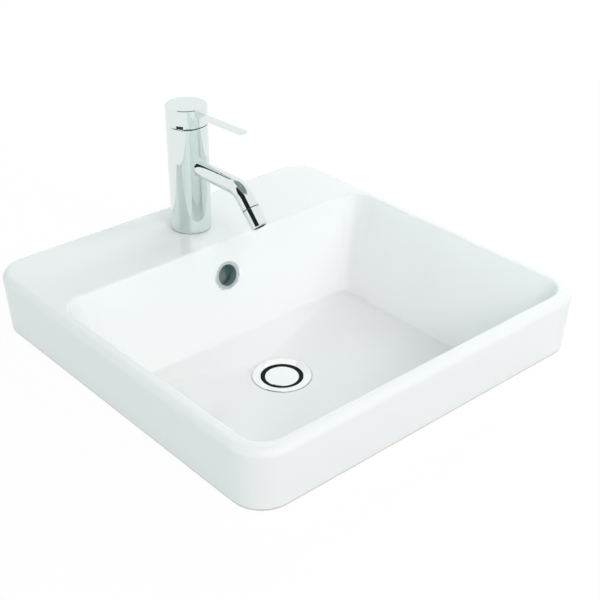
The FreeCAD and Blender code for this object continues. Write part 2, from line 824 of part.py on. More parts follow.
def make_spring(low, high):
    """The plug's return spring: one wire, wound on a helix of tangent arcs."""
    wire = SIZES["spring_wire"]
    turns = int(SIZES["spring_turns"])
    seat_gap = wire + SIZES["slip_fit"]
    bottom, top = low + seat_gap, high - seat_gap
    curves, start, direction = helix_biarcs(SIZES["spring_radius"], bottom, top, turns)
    path = Part.Wire([curve.toShape() for curve in curves])
    section = Part.Wire([Part.Circle(start, direction, wire).toShape()])
    spring = document.addObject("Part::Feature", "plug_spring")
    spring.Label = "plug_spring"
    spring.Shape = path.makePipeShell([section], True, False)
    print(f"plug_spring least gap between turns: {least_gap(path, turns, wire):.2f} mm")
    return spring


def at_tap(body):
    """Put a piece on the mixer's axis, at deck level."""
    place(body, ZERO, tap_back, mm.rim_height)
    return body


def port_places():
    """Hot, cold and mixed water ports of the cartridge, as (x, y, radius)."""
    return [
        (-mm.supply_spread, mm.supply_back, mm.supply_radius),
        (mm.supply_spread, mm.supply_back, mm.supply_radius),
        (ZERO, -mm.mix_forward, mm.mix_radius),
    ]


def make_tap_body():
    """Mixer body: turned cylinder with cartridge bore, waterways, spout socket and threaded inlets."""
    body = new_body("tap_body")
    spigot = mm.tap_hole_radius - mm.spigot_play
    foot = mm.gasket_thickness
    revolve(body, [
        (ZERO, -mm.spigot_depth),
        (spigot, -mm.spigot_depth),
        (spigot, foot),
        (mm.tap_radius - mm.tap_chamfer, foot),
        (mm.tap_radius, foot + mm.tap_chamfer),
        (mm.tap_radius, mm.tap_height - mm.tap_chamfer),
        (mm.tap_radius - mm.tap_chamfer, mm.tap_height),
        (mm.rebate_radius, mm.tap_height),
        (mm.rebate_radius, mm.tap_height - mm.rebate_depth),
        (mm.cartridge_bore, mm.tap_height - mm.rebate_depth),
        (mm.cartridge_bore, cartridge_seat),
        (ZERO, cartridge_seat),
    ])
    (hot_x, hot_y, _), (cold_x, cold_y, _), (mix_x, mix_y, _) = port_places()
    inlet_top = mm.inlet_depth - mm.spigot_depth
    for x, y in ((hot_x, hot_y), (cold_x, cold_y)):
        drill(body, mm.inlet_radius, -mm.spigot_depth, inlet_top, x, y)
        drill(body, mm.supply_radius, inlet_top, cartridge_seat, x, y)
    drill(body, mm.mix_radius, mm.spout_rise, cartridge_seat, mix_x, mix_y)
    drill(body, mm.stud_radius + mm.thread_fit, -mm.spigot_depth, mm.stud_bite - mm.spigot_depth, ZERO,
          -mm.stud_forward)
    socket = spout_bore + mm.shank_wall + mm.thread_fit
    extrude(body, "XZ_Plane", lambda sketch: draw_circle(sketch, socket, ZERO, mm.spout_rise),
            mm.shank_depth + mm.cut_margin, mm.tap_radius - mm.shank_depth, cut=True, backwards=True)
    extrude(body, "XZ_Plane", lambda sketch: draw_circle(sketch, mm.mix_radius, ZERO, mm.spout_rise),
            mm.tap_radius - mm.mix_forward, mm.mix_forward, cut=True, backwards=True)
    gasket = turned_piece("base_gasket", box_points(
        mm.tap_hole_radius, mm.tap_radius - mm.gasket_inset, ZERO, mm.gasket_thickness))
    return [at_tap(body), at_tap(gasket)]


def make_spout():
    """Spout: a tube swept forwards and bent down, saddled on the body, with its shank in the socket."""
    body = new_body("tap_spout")
    path = new_sketch(body, "YZ_Plane")
    begin = (-mm.tap_radius / 2, mm.spout_rise)
    bend_length = mm.spout_bend * tangent(mm.spout_droop / 2)
    first = (bend_length - mm.spout_reach, mm.spout_rise)
    centre = (first[0], mm.spout_rise - mm.spout_bend)
    away, down = cosine(mm.spout_droop), sine(mm.spout_droop)
    last = (-mm.spout_reach - bend_length * away, mm.spout_rise - bend_length * down)
    end = (-mm.spout_reach - spout_end * away, mm.spout_rise - spout_end * down)
    points = [Vector(x.number, y.number, 0) for x, y in (begin, first, last, end)]
    level = path.addGeometry(Part.LineSegment(points[0], points[1]))
    whole = Part.Circle(Vector(centre[0].number, centre[1].number, 0), Vector(0, 0, 1), mm.spout_bend.number)
    turn = math.radians(mm.spout_droop.number)
    bend = path.addGeometry(Part.ArcOfCircle(whole, math.pi / 2, math.pi / 2 + turn))
    drop = path.addGeometry(Part.LineSegment(points[2], points[3]))
    path.addConstraint(Sketcher.Constraint("Coincident", level, 2, bend, 1))
    path.addConstraint(Sketcher.Constraint("Coincident", bend, 2, drop, 1))
    fix_point(path, level, 1, *begin)
    fix_point(path, level, 2, *first)
    radius_index = path.addConstraint(Sketcher.Constraint("Radius", bend, mm.spout_bend.number))
    bind(path, f"Constraints[{radius_index}]", mm.spout_bend)
    fix_point(path, drop, 1, *last)
    fix_point(path, drop, 2, *end)
    ring = new_sketch(body, "XZ_Plane", mm.tap_radius / 2)
    draw_circle(ring, mm.spout_radius, ZERO, mm.spout_rise)
    draw_circle(ring, spout_bore, ZERO, mm.spout_rise)
    add_feature(body, "AdditivePipe", "tube", ring, Spine=(path, ["Edge1", "Edge2", "Edge3"]))
    path.Visibility = False
    saddle = mm.tap_radius + mm.saddle_gap
    extrude(body, "XY_Plane", lambda sketch: draw_circle(sketch, saddle), through(mm.spout_radius),
            mm.spout_rise, cut=True, both=True)
    shank_length = mm.shank_depth + mm.spout_wall

    def shank_ring(sketch):
        draw_circle(sketch, spout_bore + mm.shank_wall, ZERO, mm.spout_rise)
        draw_circle(sketch, spout_bore, ZERO, mm.spout_rise)

    extrude(body, "XZ_Plane", shank_ring, shank_length, mm.tap_radius - mm.shank_depth)
    return [at_tap(body)]


def at_outlet(body):
    """Put a piece on the spout's outlet axis, its Z pointing back up the spout."""
    place(body, ZERO, tap_back - mm.spout_reach - spout_end * cosine(mm.spout_droop),
          mm.rim_height + mm.spout_rise - spout_end * sine(mm.spout_droop), mm.spout_droop - 90)
    return body


def make_aerator():
    """Aerator: chrome sleeve screwed into the spout, a jet insert and a washer."""
    spigot = spout_bore - mm.thread_fit
    spigot_bore = spigot - mm.aerator_spigot_wall
    bore = mm.spout_radius - mm.aerator_wall
    low = -mm.aerator_length
    lip_top = low + mm.aerator_lip_height
    shoulder = lip_top + mm.insert_height
    shell = turned_piece("aerator_shell", [
        (spigot_bore, mm.aerator_spigot),
        (spigot, mm.aerator_spigot),
        (spigot, ZERO),
        (mm.spout_radius - mm.aerator_chamfer / 2, ZERO),
        (mm.spout_radius, -mm.aerator_chamfer / 2),
        (mm.spout_radius, low + mm.aerator_chamfer),
        (mm.spout_radius - mm.aerator_chamfer, low),
        (bore - mm.aerator_lip, low),
        (bore - mm.aerator_lip, lip_top),
        (bore, lip_top),
        (bore, shoulder),
        (spigot_bore, shoulder),
    ])
    insert = new_body("aerator_insert")
    radius = bore - mm.thread_fit
    inner = radius - mm.aerator_wall
    revolve(insert, [
        (ZERO, lip_top),
        (radius, lip_top),
        (radius, shoulder),
        (inner, shoulder),
        (inner, lip_top + mm.insert_plate),
        (ZERO, lip_top + mm.insert_plate),
    ])
    drill(insert, mm.jet_radius, lip_top, lip_top + mm.insert_plate)
    drill(insert, mm.jet_radius, lip_top, lip_top + mm.insert_plate, mm.jet_ring)
    pattern = insert.newObject("PartDesign::PolarPattern", "jet_pattern")
    pattern.Originals = [insert.Tip]
    pattern.Axis = (next(item for item in insert.Origin.OriginFeatures if item.Role == "Z_Axis"), [""])
    pattern.Angle = 360
    bind(pattern, "Occurrences", mm.jet_count)
    insert.Tip = pattern
    washer = turned_piece("aerator_washer", box_points(
        spigot_bore, spigot, mm.aerator_spigot, mm.aerator_spigot + mm.aerator_washer))
    return [at_outlet(piece) for piece in (shell, insert, washer)]


def make_cartridge():
    """Ceramic-disc cartridge, from the seat in the body up to the nut and the dark dress ring."""
    seat = cartridge_seat
    base_top = seat + mm.base_height
    disc_top = base_top + mm.disc_height
    slider_top = disc_top + mm.disc_height
    carrier_top = slider_top + mm.carrier_height
    housing_top = base_top + mm.housing_height
    roof = housing_top - mm.housing_roof
    outer = mm.cartridge_bore - mm.housing_play
    inner = outer - mm.housing_wall
    seal_wall = mm.port_seal_wall

    base = turned_piece("cartridge_base", box_points(ZERO, outer, seat, base_top))
    seals = new_body("cartridge_base_seals")
    seals.AllowCompound = True
    fixed = turned_piece("fixed_disc", box_points(ZERO, mm.fixed_disc_radius, base_top, disc_top))
    for x, y, radius in port_places():
        drill(base, radius, seat, base_top, x, y)
        drill(base, radius + seal_wall + mm.thread_fit, seat, seat + mm.port_seal_height, x, y)
        drill(fixed, radius, base_top, disc_top, x, y)

    def seal_rings(sketch):
        for x, y, radius in port_places():
            draw_circle(sketch, radius + seal_wall, x, y)
            draw_circle(sketch, radius, x, y)

    extrude(seals, "XY_Plane", seal_rings, mm.port_seal_height, seat)
    slider = turned_piece("moving_disc", box_points(ZERO, mm.moving_disc_radius, disc_top, slider_top))
    drill(slider, mm.mix_pocket_radius, disc_top, disc_top + mm.mix_pocket_depth)
    ball_level = slider_top + mm.carrier_floor + mm.stem_ball_lift + mm.stem_ball_radius
    carrier = turned_piece("disc_carrier", box_points(ZERO, mm.moving_disc_radius, slider_top, carrier_top))
    ball_slot = mm.stem_ball_radius + mm.ball_gap
    slot = box_points(-ball_slot, ball_slot, -ball_slot, ball_slot)
    slot_low = slider_top + mm.carrier_floor
    extrude(carrier, "XY_Plane", lambda sketch: draw_polygon(sketch, slot), carrier_top - slot_low, slot_low,
            cut=True, backwards=True)
    housing = turned_piece("cartridge_housing", [
        (inner, base_top),
        (outer, base_top),
        (outer, housing_top),
        (mm.rotor_neck_radius + mm.running_fit, housing_top),
        (mm.rotor_neck_radius + mm.running_fit, roof),
        (inner, roof),
    ])
    rotor_low = carrier_top + mm.rotor_gap
    rotor_top = housing_top + mm.rotor_neck_rise
    rotor = turned_piece("cartridge_rotor", [
        (ZERO, rotor_low),
        (inner - mm.rotor_gap, rotor_low),
        (inner - mm.rotor_gap, roof - mm.rotor_gap),
        (mm.rotor_neck_radius, roof - mm.rotor_gap),
        (mm.rotor_neck_radius, rotor_top),
        (ZERO, rotor_top),
    ])
    half_slot = mm.stem_width / 2 + mm.stem_side_gap
    slot = box_points(-half_slot, half_slot, -mm.stem_slot / 2, mm.stem_slot / 2)
    extrude(rotor, "XY_Plane", lambda sketch: draw_polygon(sketch, slot), rotor_top - rotor_low, rotor_low,
            cut=True, backwards=True)
    extrude(rotor, "YZ_Plane", lambda sketch: draw_circle(sketch, mm.pin_radius, ZERO, pivot_level),
            mm.pin_length, cut=True, both=True)
    pin = new_body("stem_pivot_pin")
    extrude(pin, "YZ_Plane", lambda sketch: draw_circle(sketch, mm.pin_radius, ZERO, pivot_level),
            mm.pin_length, both=True)
    stem = make_stem(ball_level)
    nut_top = housing_top + mm.nut_height
    nut = turned_piece("cartridge_nut", box_points(
        mm.nut_bore, mm.cartridge_bore - mm.thread_fit, housing_top, nut_top))
    half_cut = mm.nut_slot / 2
    notch = box_points(-mm.cartridge_bore, mm.cartridge_bore, -half_cut, half_cut)
    extrude(nut, "XY_Plane", lambda sketch: draw_polygon(sketch, notch), mm.nut_height / 2,
            nut_top - mm.nut_height / 2, cut=True, backwards=True)
    ring_low = mm.tap_height - mm.rebate_depth
    ring = turned_piece("dress_ring", box_points(
        mm.nut_bore, mm.rebate_radius - mm.slip_fit, ring_low, ring_low + mm.dress_ring_height))
    pieces = (base, seals, fixed, slider, carrier, housing, rotor, pin, stem, nut, ring)
    return [at_tap(piece) for piece in pieces]


def make_stem(ball_level):
    """Lever stem: a flat bar on the pivot pin, with a ball below that drags the disc carrier."""
    stem = new_body("cartridge_stem")
    stem_low = pivot_level - 2 * mm.pin_radius
    stem_top = hub_bottom + mm.hub_recess + mm.hub_socket - mm.slip_fit
    bar = box_points(-mm.stem_width / 2, mm.stem_width / 2, -mm.stem_depth / 2, mm.stem_depth / 2)
    extrude(stem, "XY_Plane", lambda sketch: draw_polygon(sketch, bar), stem_top - stem_low, stem_low)
    extrude(stem, "XY_Plane", lambda sketch: draw_circle(sketch, mm.stem_neck_radius), stem_low - ball_level,
            ball_level)
    sketch = new_sketch(stem, "XZ_Plane")
    radius = mm.stem_ball_radius
    whole = Part.Circle(Vector(0, ball_level.number, 0), Vector(0, 0, 1), radius.number)
    arc = sketch.addGeometry(Part.ArcOfCircle(whole, -math.pi / 2, math.pi / 2))
    low, high = ball_level - radius, ball_level + radius
    line = sketch.addGeometry(Part.LineSegment(Vector(0, high.number, 0), Vector(0, low.number, 0)))
    sketch.addConstraint(Sketcher.Constraint("Coincident", arc, 2, line, 1))
    sketch.addConstraint(Sketcher.Constraint("Coincident", line, 2, arc, 1))
    fix_point(sketch, line, 1, ZERO, high)
    fix_point(sketch, line, 2, ZERO, low)
    sketch.addConstraint(Sketcher.Constraint("PointOnObject", arc, 3, -2))
    add_feature(stem, "Revolution", "ball", sketch, ReferenceAxis=(sketch, ["V_Axis"]), Angle=360)
    extrude(stem, "YZ_Plane", lambda item: draw_circle(item, mm.pin_radius + mm.pin_fit, ZERO, pivot_level),
            mm.pin_length, cut=True, both=True)
    return stem


def lever_outline(root, tip, play=ZERO):
    """Side view of the lever bar between two distances in front of the mixer's axis."""
    slope = tangent(mm.lever_rise)
    surface = hub_top - mm.lever_drop

    def top(reach):
        return surface + (reach - mm.tap_radius) * slope

    return [
        (-root, top(root) + play),
        (-tip, top(tip) + play),
        (-tip, top(tip) - mm.lever_thickness - play),
        (-root, top(root) - mm.lever_thickness - play),
    ]


def notch_outline(recess):
    """Plan of the notch under the hub's front left edge, through its wall to the recess."""
    across, along = sine(mm.notch_turn), cosine(mm.notch_turn)
    near, far = recess - mm.cut_margin, mm.tap_radius + mm.cut_margin
    half = mm.notch_width / 2
    corners = [(near, -half), (far, -half), (far, half), (near, half)]
    return [(-across * reach + along * aside, -along * reach - across * aside) for reach, aside in corners]


def make_handle():
    """Handle: hub over the stem, flat lever in its front, grub screw and cap behind."""
    hub = new_body("handle_hub")
    recess_top = hub_bottom + mm.hub_recess
    recess = mm.tap_radius - mm.hub_wall
    revolve(hub, [
        (recess, hub_bottom),
        (mm.tap_radius - mm.tap_chamfer, hub_bottom),
        (mm.tap_radius, hub_bottom + mm.tap_chamfer),
        (mm.tap_radius, hub_top - mm.hub_chamfer),
        (mm.tap_radius - mm.hub_chamfer, hub_top),
        (ZERO, hub_top),
        (ZERO, recess_top),
        (recess, recess_top),
    ])
    far = 2 * mm.tap_radius
    relief = [
        (mm.lift_start, hub_bottom),
        (mm.lift_start, hub_bottom - mm.handle_gap),
        (far, hub_bottom - mm.handle_gap),
        (far, hub_bottom + (far - mm.lift_start) * tangent(mm.lift_angle)),
    ]
    extrude(hub, "YZ_Plane", lambda sketch: draw_polygon(sketch, relief), through(mm.tap_radius), cut=True,
            both=True)
    notch = notch_outline(recess)
    extrude(hub, "XY_Plane", lambda sketch: draw_polygon(sketch, notch), mm.notch_height, hub_bottom, cut=True,
            backwards=True)
    half_width = mm.stem_width / 2 + mm.thread_fit
    half_depth = mm.stem_depth / 2 + mm.thread_fit
    socket = box_points(-half_width, half_width, -half_depth, half_depth)
    extrude(hub, "XY_Plane", lambda sketch: draw_polygon(sketch, socket), mm.hub_socket, recess_top, cut=True,
            backwards=True)
    tenon_end = mm.tap_radius - mm.lever_tenon
    mortise = lever_outline(tenon_end, mm.tap_radius + mm.cut_margin, mm.thread_fit)
    extrude(hub, "YZ_Plane", lambda sketch: draw_polygon(sketch, mortise), mm.lever_width + 2 * mm.thread_fit,
            cut=True, both=True)
    screw_level = recess_top + mm.hub_socket / 2
    grub_hole = mm.grub_radius + mm.thread_fit
    extrude(hub, "XZ_Plane", lambda sketch: draw_circle(sketch, grub_hole, ZERO, screw_level), mm.tap_radius,
            ZERO, cut=True)
    lever = new_body("handle_lever")
    blade = lever_outline(tenon_end, mm.lever_length)
    extrude(lever, "YZ_Plane", lambda sketch: draw_polygon(sketch, blade), mm.lever_width, both=True)
    grub = new_body("handle_grub_screw")
    grub_start = mm.stem_depth / 2
    extrude(grub, "XZ_Plane", lambda sketch: draw_circle(sketch, mm.grub_radius, ZERO, screw_level),
            mm.grub_length, -grub_start, backwards=True)
    cap = new_body("handle_screw_cap")
    cap_start = mm.tap_radius - mm.screw_cap_inset - mm.screw_cap_length
    extrude(cap, "XZ_Plane", lambda sketch: draw_circle(sketch, mm.grub_radius, ZERO, screw_level),
            mm.screw_cap_length, -cap_start, backwards=True)
    return [at_tap(piece) for piece in (hub, lever, grub, cap)]


def make_fixing():
    """What holds the mixer to the deck from below: stud, rubber, horseshoe plate and long nut."""
    stud = new_body("fixing_stud")
    stud_top = mm.stud_bite - mm.spigot_depth
    extrude(stud, "XY_Plane", lambda sketch: draw_circle(sketch, mm.stud_radius, ZERO, -mm.stud_forward),
            mm.stud_length, stud_top - mm.stud_length)
    pieces = [stud]
    top = deck_under
    for label, height in (("horseshoe_rubber", mm.horseshoe_rubber), ("horseshoe_plate", mm.horseshoe_plate)):
        shoe = new_body(label)
        low = top - height
        extrude(shoe, "XY_Plane", lambda sketch: draw_circle(sketch, mm.horseshoe_radius), height, low)
        half = mm.horseshoe_slot / 2
        slot = box_points(-half, half, -mm.horseshoe_bridge, 2 * mm.horseshoe_radius)
        extrude(shoe, "XY_Plane", lambda sketch: draw_polygon(sketch, slot), height, low, cut=True,
                backwards=True)
        drill(shoe, mm.stud_radius + mm.slip_fit, low, top, ZERO, -mm.stud_forward)
        pieces.append(shoe)
        top = low
    nut = new_body("fixing_nut")
    low = top - mm.fixing_nut_height
    corners = [(x, y - mm.stud_forward) for x, y in hexagon(mm.fixing_nut_flats)]
    extrude(nut, "XY_Plane", lambda sketch: draw_polygon(sketch, corners), mm.fixing_nut_height, low)
    drill(nut, mm.stud_radius + mm.thread_fit, low, top, ZERO, -mm.stud_forward)
    pieces.append(nut)
    return [at_tap(piece) for piece in pieces]


def check(pieces):
    """Stop if any object failed or any piece isn't a valid solid."""
    for item in document.Objects:
        if "Invalid" in item.State or "Error" in item.State:
            raise RuntimeError(f"{item.Name}: {item.State}")
    for piece in pieces:
        shape = piece.Shape
        wanted = 3 if piece.Label == "cartridge_base_seals" else 1
        if shape.isNull() or not shape.isValid() or len(shape.Solids) != wanted:
            raise RuntimeError(f"{piece.Label} is not made of {wanted} valid solids")


def main():
    """Build every piece, check them all and write one file for each."""
    pieces = [make_ceramic_basin(), make_overflow_ring()]
    for maker in (make_waste, make_plug, make_tap_body, make_spout, make_aerator, make_cartridge, make_handle,
                  make_fixing):
        pieces.extend(maker())
    document.recompute()
    check(pieces)
    os.makedirs("parts", exist_ok=True)
    for piece in pieces:
        piece.Shape.exportStep(os.path.join("parts", f"{piece.Label}.step"))
    print(f"{len(pieces)} pieces")


main()
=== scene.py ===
"""Inset vanity basin dressed for its portrait: glazed basin, chrome mixer and pop-up waste."""

import json
import math

import bmesh
import bpy
from mathutils import Matrix, Vector


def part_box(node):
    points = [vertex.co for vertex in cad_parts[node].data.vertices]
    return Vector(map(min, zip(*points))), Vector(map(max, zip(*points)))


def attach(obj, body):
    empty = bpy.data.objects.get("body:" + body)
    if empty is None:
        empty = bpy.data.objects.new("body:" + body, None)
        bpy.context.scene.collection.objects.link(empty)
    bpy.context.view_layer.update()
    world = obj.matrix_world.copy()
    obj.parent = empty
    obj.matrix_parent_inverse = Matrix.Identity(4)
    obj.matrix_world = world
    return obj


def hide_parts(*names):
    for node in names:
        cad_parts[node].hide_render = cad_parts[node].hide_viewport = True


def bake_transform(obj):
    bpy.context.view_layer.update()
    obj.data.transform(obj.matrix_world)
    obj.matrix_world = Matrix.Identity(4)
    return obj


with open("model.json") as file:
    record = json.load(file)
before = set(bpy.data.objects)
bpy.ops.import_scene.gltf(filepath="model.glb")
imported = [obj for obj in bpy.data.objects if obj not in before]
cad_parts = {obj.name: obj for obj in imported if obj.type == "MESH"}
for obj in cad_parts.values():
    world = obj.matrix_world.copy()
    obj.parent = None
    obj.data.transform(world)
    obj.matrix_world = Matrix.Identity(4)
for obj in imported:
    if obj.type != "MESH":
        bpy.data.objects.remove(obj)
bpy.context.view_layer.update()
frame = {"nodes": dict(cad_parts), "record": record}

# Where the portrait is taken from
CAMERA_PLACE = Vector((-0.70590, -0.82425, 0.66616))
CAMERA_AZIMUTH = -41.498
CAMERA_ELEVATION = 29.936
CAMERA_ROLL = 0.267
CAMERA_LENS = 69.94
SENSOR_WIDTH = 36.0

# The worktop that the skirt stands on, and the hole in it that the bowl hangs through
WORKTOP_REACH = 4.0
WORKTOP_CORNER = 0.5
WORKTOP_LEVEL = -0.0003
CUTOUT_HALF = 0.212
CUTOUT_CORNER = 0.030
CORNER_STEPS = 8
WORKTOP_GLOW = 0.95
WORKTOP_PALE = (0.66, 0.66, 0.66)
WHITE = (1, 1, 1)

# Three glowing walls, each at its full strength where a direction points well towards it
FRONT_WALL = (0.41, 0.56, 0.54)
LEFT_WALL = (0.92, 1.02, 1.03)
BACK_WALL = (0.67, 0.81, 0.78)
WALL_EDGE = 0.2
WALL_CORE = 0.9

# Soft lamps by place, colour and watts
LAMPS = {
    "front_lamp": ((-0.4, -2.4, 2.0), (1.0, 0.80, 0.84), 43.0),
    "right_lamp": ((1.6, -1.2, 2.0), (0.88, 1.0, 0.97), 19.7),
    "rear_lamp": ((1.8, 0.9, 0.9), (0.98, 0.97, 1.0), 28.0),
}
LAMP_AIM = Vector((0.0, 0.05, 0.0))
LAMP_SIZE = 1.6

# The flags that the chrome mirrors: a dark one on the left with a grey top, and a grey one overhead.
# Their edges are directions: how far back, forward and up for each step to the left, or how far up alone
FLAG_DARK = (0.018, 0.020, 0.020)
FLAG_GREY = (0.27, 0.31, 0.30)
FLAG_BACK = 0.36
FLAG_FRONT = 1.0
FLAG_FOOT = 0.14
FLAG_TOP = 0.74
GREY_FOOT = 0.72
FLAG_SIDE_BLUR = 0.03
FLAG_LEVEL_BLUR = 0.02
OVERHEAD_EDGE = 0.82
OVERHEAD_CORE = 0.87

# Where the glaze stops: on faces that look down, and below the worktop on all that don't look up
DOWN_EDGE = 0.10
DOWN_CORE = 0.16
BURIED_EDGE = 0.001
BURIED_CORE = 0.004
STEEP = 0.12
STEEP_BLUR = 0.04

# The bowl's rear wall: its lean, and where its plane meets the worktop. The overflow duct behind it
REAR_LEAN = 0.2217
REAR_FOOT = 0.09196
DUCT_TOP = 0.0500
DUCT_TOP_BLUR = 0.003
DUCT_SOLE = -0.0825
DUCT_EDGE = 0.0015
DUCT_CORE = 0.005
DUCT_BACK = 0.0235
DUCT_HALF = 0.0145

# The overflow ring's front, its slant, and the throat behind its face
OVERFLOW_MIDDLE = (0.0, 0.09747, 0.03130)
OVERFLOW_SLANT = (0.9763, -0.2164)
THROAT_EDGE = 0.0004
THROAT_CORE = 0.0010
THROAT_RADIUS = 0.0135
THROAT_BLUR = 0.0004

# The aerator's seam with the spout, its slant up the spout and its width
SEAM_MIDDLE = (0.0, 0.053696, 0.130301)
SEAM_SLANT = (0.6820, 0.7314)
SEAM_WIDTH = 0.0010
SEAM_BLUR = 0.0001

# Tones of the finishes: where there are two, one for each end of the noise that mixes them.
# The chrome's are for the mixer, and the bright ones, the same chrome painted lighter, are painted light on
# the basin's own fittings
GLAZE_TONES = (0.908, 0.928, 0.924), (0.920, 0.935, 0.933)
BISCUIT_TONES = (0.66, 0.62, 0.55), (0.78, 0.75, 0.69)
# Dark teal painted shade inside the overflow duct, over its bare fired body
DUCT_SHADE_TONE = (0.30, 0.44, 0.44)
CHROME_TONES = (0.750, 0.822, 0.814), (0.770, 0.838, 0.830)
# The mixer's chrome painted lighter: painted light on the waste, plug and overflow ring
PAINTED_BRIGHT_TONES = (0.925, 0.940, 0.940), (0.945, 0.955, 0.955)
# Dark teal painted shade down the overflow ring's throat
THROAT_SHADE_TONE = (0.20, 0.30, 0.31)
# Near-black painted shade for the groove at the aerator's seam
SEAM_SHADE_TONE = (0.020, 0.024, 0.024)
STEEL_TONES = (0.47, 0.475, 0.48), (0.62, 0.62, 0.615)
BRASS_TONES = (0.80, 0.60, 0.29), (0.50, 0.35, 0.17)
BLACK_RUBBER_TONES = (0.006, 0.007, 0.007), (0.014, 0.016, 0.016)
GREY_RUBBER_TONES = (0.33, 0.37, 0.37), (0.38, 0.42, 0.42)
DARK_PLASTIC_TONES = (0.009, 0.010, 0.011), (0.017, 0.018, 0.019)
WHITE_PLASTIC_TONES = (0.74, 0.74, 0.71), (0.80, 0.80, 0.78)
DISC_TONES = (0.86, 0.84, 0.78), (0.70, 0.67, 0.60)

# Middles of the turned pieces
WASTE_MIDDLE = (0.0, 0.0035, 0.0)
TAP_MIDDLE = (0.0, 0.1627, 0.0)
STUD_MIDDLE = (0.0, 0.1537, 0.0)

# The plug's spring
SPRING_WIRE = 0.0005
SPRING_RADIUS = 0.0032
SPRING_TURNS = 5.0
SPRING_SIDES = 12

# A thread's ridge as a share of its pitch, and the share of the ridge that is sunk in the shank
RIDGE_SHARE = 0.45
SUNK_SHARE = 0.35
RIDGE_SIDES = 6


class Wire:
    """A node's output. Arithmetic on wires adds Math nodes to the tree that they belong to."""

    def __init__(self, bench, socket):
        self.bench = bench
        self.socket = socket

    def twin(self, name):
        """Another output of the same node."""
        return Wire(self.bench, self.socket.node.outputs[name])

    def work(self, operation, first, second):
        return self.bench.node("ShaderNodeMath", {"operation": operation}, {0: first, 1: second})

    def __add__(self, other):
        return self.work("ADD", self, other)

    def __radd__(self, other):
        return self.work("ADD", other, self)

    def __sub__(self, other):
        return self.work("SUBTRACT", self, other)

    def __rsub__(self, other):
        return self.work("SUBTRACT", other, self)

    def __mul__(self, other):
        return self.work("MULTIPLY", self, other)

    def __rmul__(self, other):
        return self.work("MULTIPLY", other, self)

    def __lt__(self, other):
        return self.work("LESS_THAN", self, other)

    def __gt__(self, other):
        return self.work("GREATER_THAN", self, other)

    def __abs__(self):
        return self.bench.node("ShaderNodeMath", {"operation": "ABSOLUTE"}, {0: self})

    def or_more(self, other):
        """The larger of two wires."""
        return self.work("MAXIMUM", self, other)


class Bench:
    """A node tree in the making."""

    def __init__(self, tree):
        self.tree = tree

    def node(self, kind, settings=None, sockets=None, output=0):
        """Add a node: settings first, then the values or links of its sockets. Gives one of its outputs."""
        made = self.tree.nodes.new(kind)
        for name, value in (settings or {}).items():
            setattr(made, name, value)
        for name, value in (sockets or {}).items():
            socket = made.inputs[name]
            if isinstance(value, Wire):
                self.tree.links.new(value.socket, socket)
            else:
                socket.default_value = (*value, 1) if socket.type == "RGBA" else value
        return Wire(self, made.outputs[output]) if len(made.outputs) else made

    def place(self, middle=(0, 0, 0), stretch=(1, 1, 1)):
        """Object coordinates, measured from a middle and stretched."""
        at = self.node("ShaderNodeTexCoord", output="Object")
        shifted = tuple(-m * s for m, s in zip(middle, stretch))
        return self.node("ShaderNodeMapping", None, {"Vector": at, "Location": shifted, "Scale": stretch})

    def along(self, place):
        """The X, Y and Z of a place or a direction."""
        first = self.node("ShaderNodeSeparateXYZ", None, {0: place})
        return first, first.twin("Y"), first.twin("Z")

    def speckle(self, place, scale, detail=2.0, roughness=0.5):
        """Noise from 0 to 1."""
        return self.node("ShaderNodeTexNoise", None,
                         {"Vector": place, "Scale": scale, "Detail": detail, "Roughness": roughness})

    def ease(self, value, low, high):
        """0 below low, 1 above high, smooth between."""
        return self.node("ShaderNodeMapRange", {"interpolation_type": "SMOOTHSTEP"},
                         {"Value": value, "From Min": low, "From Max": high})

    def past_zero(self, value, blur):
        """0 below zero and 1 above it, with a blur to each side."""
        return self.ease(value, -blur, blur)

    def tint(self, share, first, second):
        """A colour between two, by share."""
        return self.node("ShaderNodeMix", {"data_type": "RGBA"}, {0: share, 6: first, 7: second}, output=2)

    def relief(self, height, depth, below=None):
        """A surface pushed in and out by height times depth, over another relief if there is one."""
        sockets = {"Height": height, "Distance": depth}
        if below is not None:
            sockets["Normal"] = below
        return self.node("ShaderNodeBump", None, sockets)


class Finish(Bench):
    """A material under one plain name, drawn by a Principled shader."""

    def __init__(self, name):
        self.material = bpy.data.materials.new(name)
        self.material.use_nodes = True
        super().__init__(self.material.node_tree)
        self.shader = self.tree.nodes["Principled BSDF"]

    def set(self, **values):
        """Values or wires for the shader's sockets, spaces written as underscores."""
        for name, value in values.items():
            socket = self.shader.inputs[name.replace("_", " ")]
            if isinstance(value, Wire):
                self.tree.links.new(value.socket, socket)
            else:
                socket.default_value = value
        return self.material


